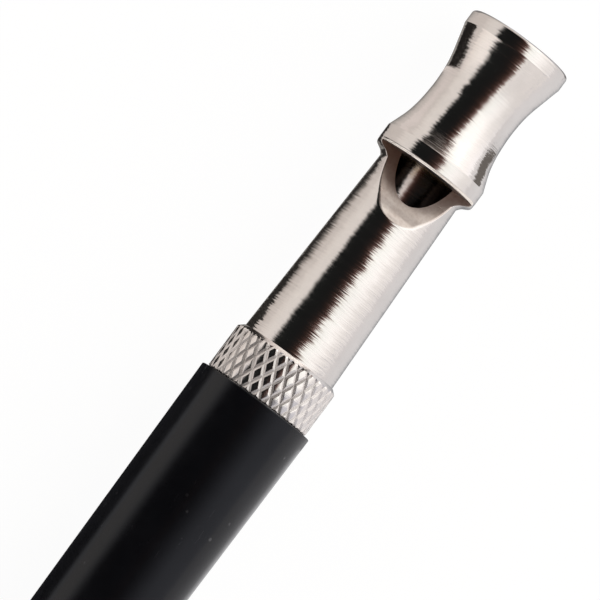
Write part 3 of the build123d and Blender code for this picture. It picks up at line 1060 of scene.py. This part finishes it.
# a dim card above the sleeve's right side
card("sleeve_right", flat([(-70, -1.2), (1.1, -1.2), (1.9, -12), (3.1, -24), (6.0, -50), (9.0, -85), (-70, -85)], H + 12), None, fade=[
    (-85, (0.54, 0.535, 0.575)), (-11, (0.54, 0.535, 0.575)), (-7, (0.36, 0.355, 0.385)), (-4, (0.16, 0.155, 0.17)), (-1.2, (0.02, 0.02, 0.02))])

world = bpy.data.worlds.new("studio")
bpy.context.scene.world = world
world.use_nodes = True
wt = world.node_tree
for n in list(wt.nodes):
    wt.nodes.remove(n)
k = Nodes(wt)
tc = wt.nodes.new("ShaderNodeTexCoord")
sep = wt.nodes.new("ShaderNodeSeparateXYZ")
k.link(tc.outputs["Generated"], sep.inputs[0])
dx, dy, dz = sep.outputs
phi = k.math("DEGREES", k.math("ARCTAN2", k.math("MULTIPLY", dy, -1.0), dz))      # 0 straight up, + towards -Y
# the dark stripe's two edges lean differently with the slope of the metal
w = k.math("MULTIPLY_ADD", phi, 1 / 22.0, 30.0 / 22.0, clamp=True)
right_lean = k.math("MULTIPLY", k.math("MULTIPLY", dx, 23.0), k.ramp(dx, [(0.655, 1.0), (0.70, 0.2)]))
left_lean = k.math("MINIMUM", k.math("MULTIPLY", dx, 22.0), k.math("MULTIPLY", dx, 6.0))
lean = k.math("ADD", k.math("MULTIPLY", w, right_lean), k.math("MULTIPLY", k.math("SUBTRACT", 1.0, w), left_lean))
phi2 = k.math("ADD", phi, lean)
fac = k.math("MULTIPLY_ADD", phi2, 1 / 360.0, 0.5)


def at(deg):
    return 0.5 + deg / 360.0


stripe = k.ramp(fac, [
    (at(-180), (0.62, 0.56, 0.52)), (at(-95), (0.68, 0.62, 0.58)), (at(-74), (0.76, 0.71, 0.67)),
    (at(-57), (0.76, 0.71, 0.675)), (at(-50), (0.0095, 0.0105, 0.0100)), (at(-18), (0.0095, 0.0095, 0.0095)),
    (at(-7), (0.013, 0.0105, 0.010)), (at(3), (0.032, 0.018, 0.0145)), (at(9), (0.075, 0.041, 0.034)), (at(14), (0.23, 0.145, 0.13)), (at(20), (0.94, 0.93, 0.88)),
    (at(30), (1.02, 1.03, 1.00)), (at(48), (1.02, 1.00, 0.98)), (at(58), (0.95, 0.92, 0.90)), (at(68), (0.84, 0.81, 0.79)),
    (at(80), (0.78, 0.75, 0.735)), (at(95), (0.74, 0.715, 0.715)), (at(180), (0.70, 0.70, 0.71)),
])
# beyond a point towards the mouth end the stripe gives way to warm light
soft = k.math("MULTIPLY", k.math("MULTIPLY", dx, -4.0, clamp=True), k.ramp(fac, [(at(17), 0.0), (at(24), 1.0)]))
stripe = k.mix(soft, stripe, (0.80, 0.76, 0.74))
rear = k.ramp(k.math("MULTIPLY", dx, -1.0), [(0.58, 0.0), (0.70, 1.0)])
stripe = k.mix(rear, stripe, (0.15, 0.095, 0.080))
front = k.ramp(dx, [(0.73, 0.0), (0.79, 0.35), (0.86, 0.85), (0.92, 1.0)])
warm = k.ramp(dx, [(0.66, (0.16, 0.10, 0.085)), (0.76, (0.42, 0.33, 0.29)), (0.87, (1.00, 0.94, 0.88)), (1.0, (1.14, 1.10, 1.06))])
stripe = k.mix(front, stripe, warm)
neg = k.math("MINIMUM", dx, 0.0)
pos = k.math("MAXIMUM", dx, 0.0)
tilt = k.math("ADD", k.math("MULTIPLY_ADD", k.math("MULTIPLY", neg, k.math("MAXIMUM", dy, 0.0)), -0.85, 1.0),
              k.math("MULTIPLY", k.math("MULTIPLY", pos, k.math("MAXIMUM", k.math("MULTIPLY", dy, -1.0), 0.0)), 1.0))
bg = wt.nodes.new("ShaderNodeBackground")
out = wt.nodes.new("ShaderNodeOutputWorld")
k.link(stripe, bg.inputs["Color"])
k.link(tilt, bg.inputs["Strength"])
k.link(bg.outputs[0], out.inputs["Surface"])

# camera: the mouth end leans away by TAU, the whistle is turned by BETA about
# its own axis, and its axis lies ROLL from the vertical of the picture
TAU, BETA, ROLL = math.radians(3.7), math.radians(2.5), math.radians(36.6)
DIST, PIX = 343.0, 5015.0
U_MID, T_MID = 7.30, -24.9
back = Vector((-math.sin(TAU), math.cos(TAU) * math.sin(BETA), math.cos(TAU) * math.cos(BETA)))
e1 = (Vector((1, 0, 0)) - back * back.x).normalized()
et = (-back).cross(e1)
up = e1 * math.cos(ROLL) - et * math.sin(ROLL)
right = e1 * math.sin(ROLL) + et * math.cos(ROLL)
aim = P(U_MID) + et * (T_MID / PIX * DIST / 1000)
cam_data = bpy.data.cameras.new("camera")
cam_data.sensor_width = 36.0
cam_data.lens = PIX * 36.0 / 600.0
cam_data.clip_start = 0.01
cam_data.clip_end = 10.0
cam = bpy.data.objects.new("camera", cam_data)
bpy.context.scene.collection.objects.link(cam)
m = Matrix((right, up, back)).transposed().to_4x4()
m.translation = aim + back * (DIST / 1000)
cam.matrix_world = m
bpy.context.scene.camera = cam

bpy.context.scene.view_settings.view_transform = "Standard"
bpy.context.scene.view_settings.look = "None"
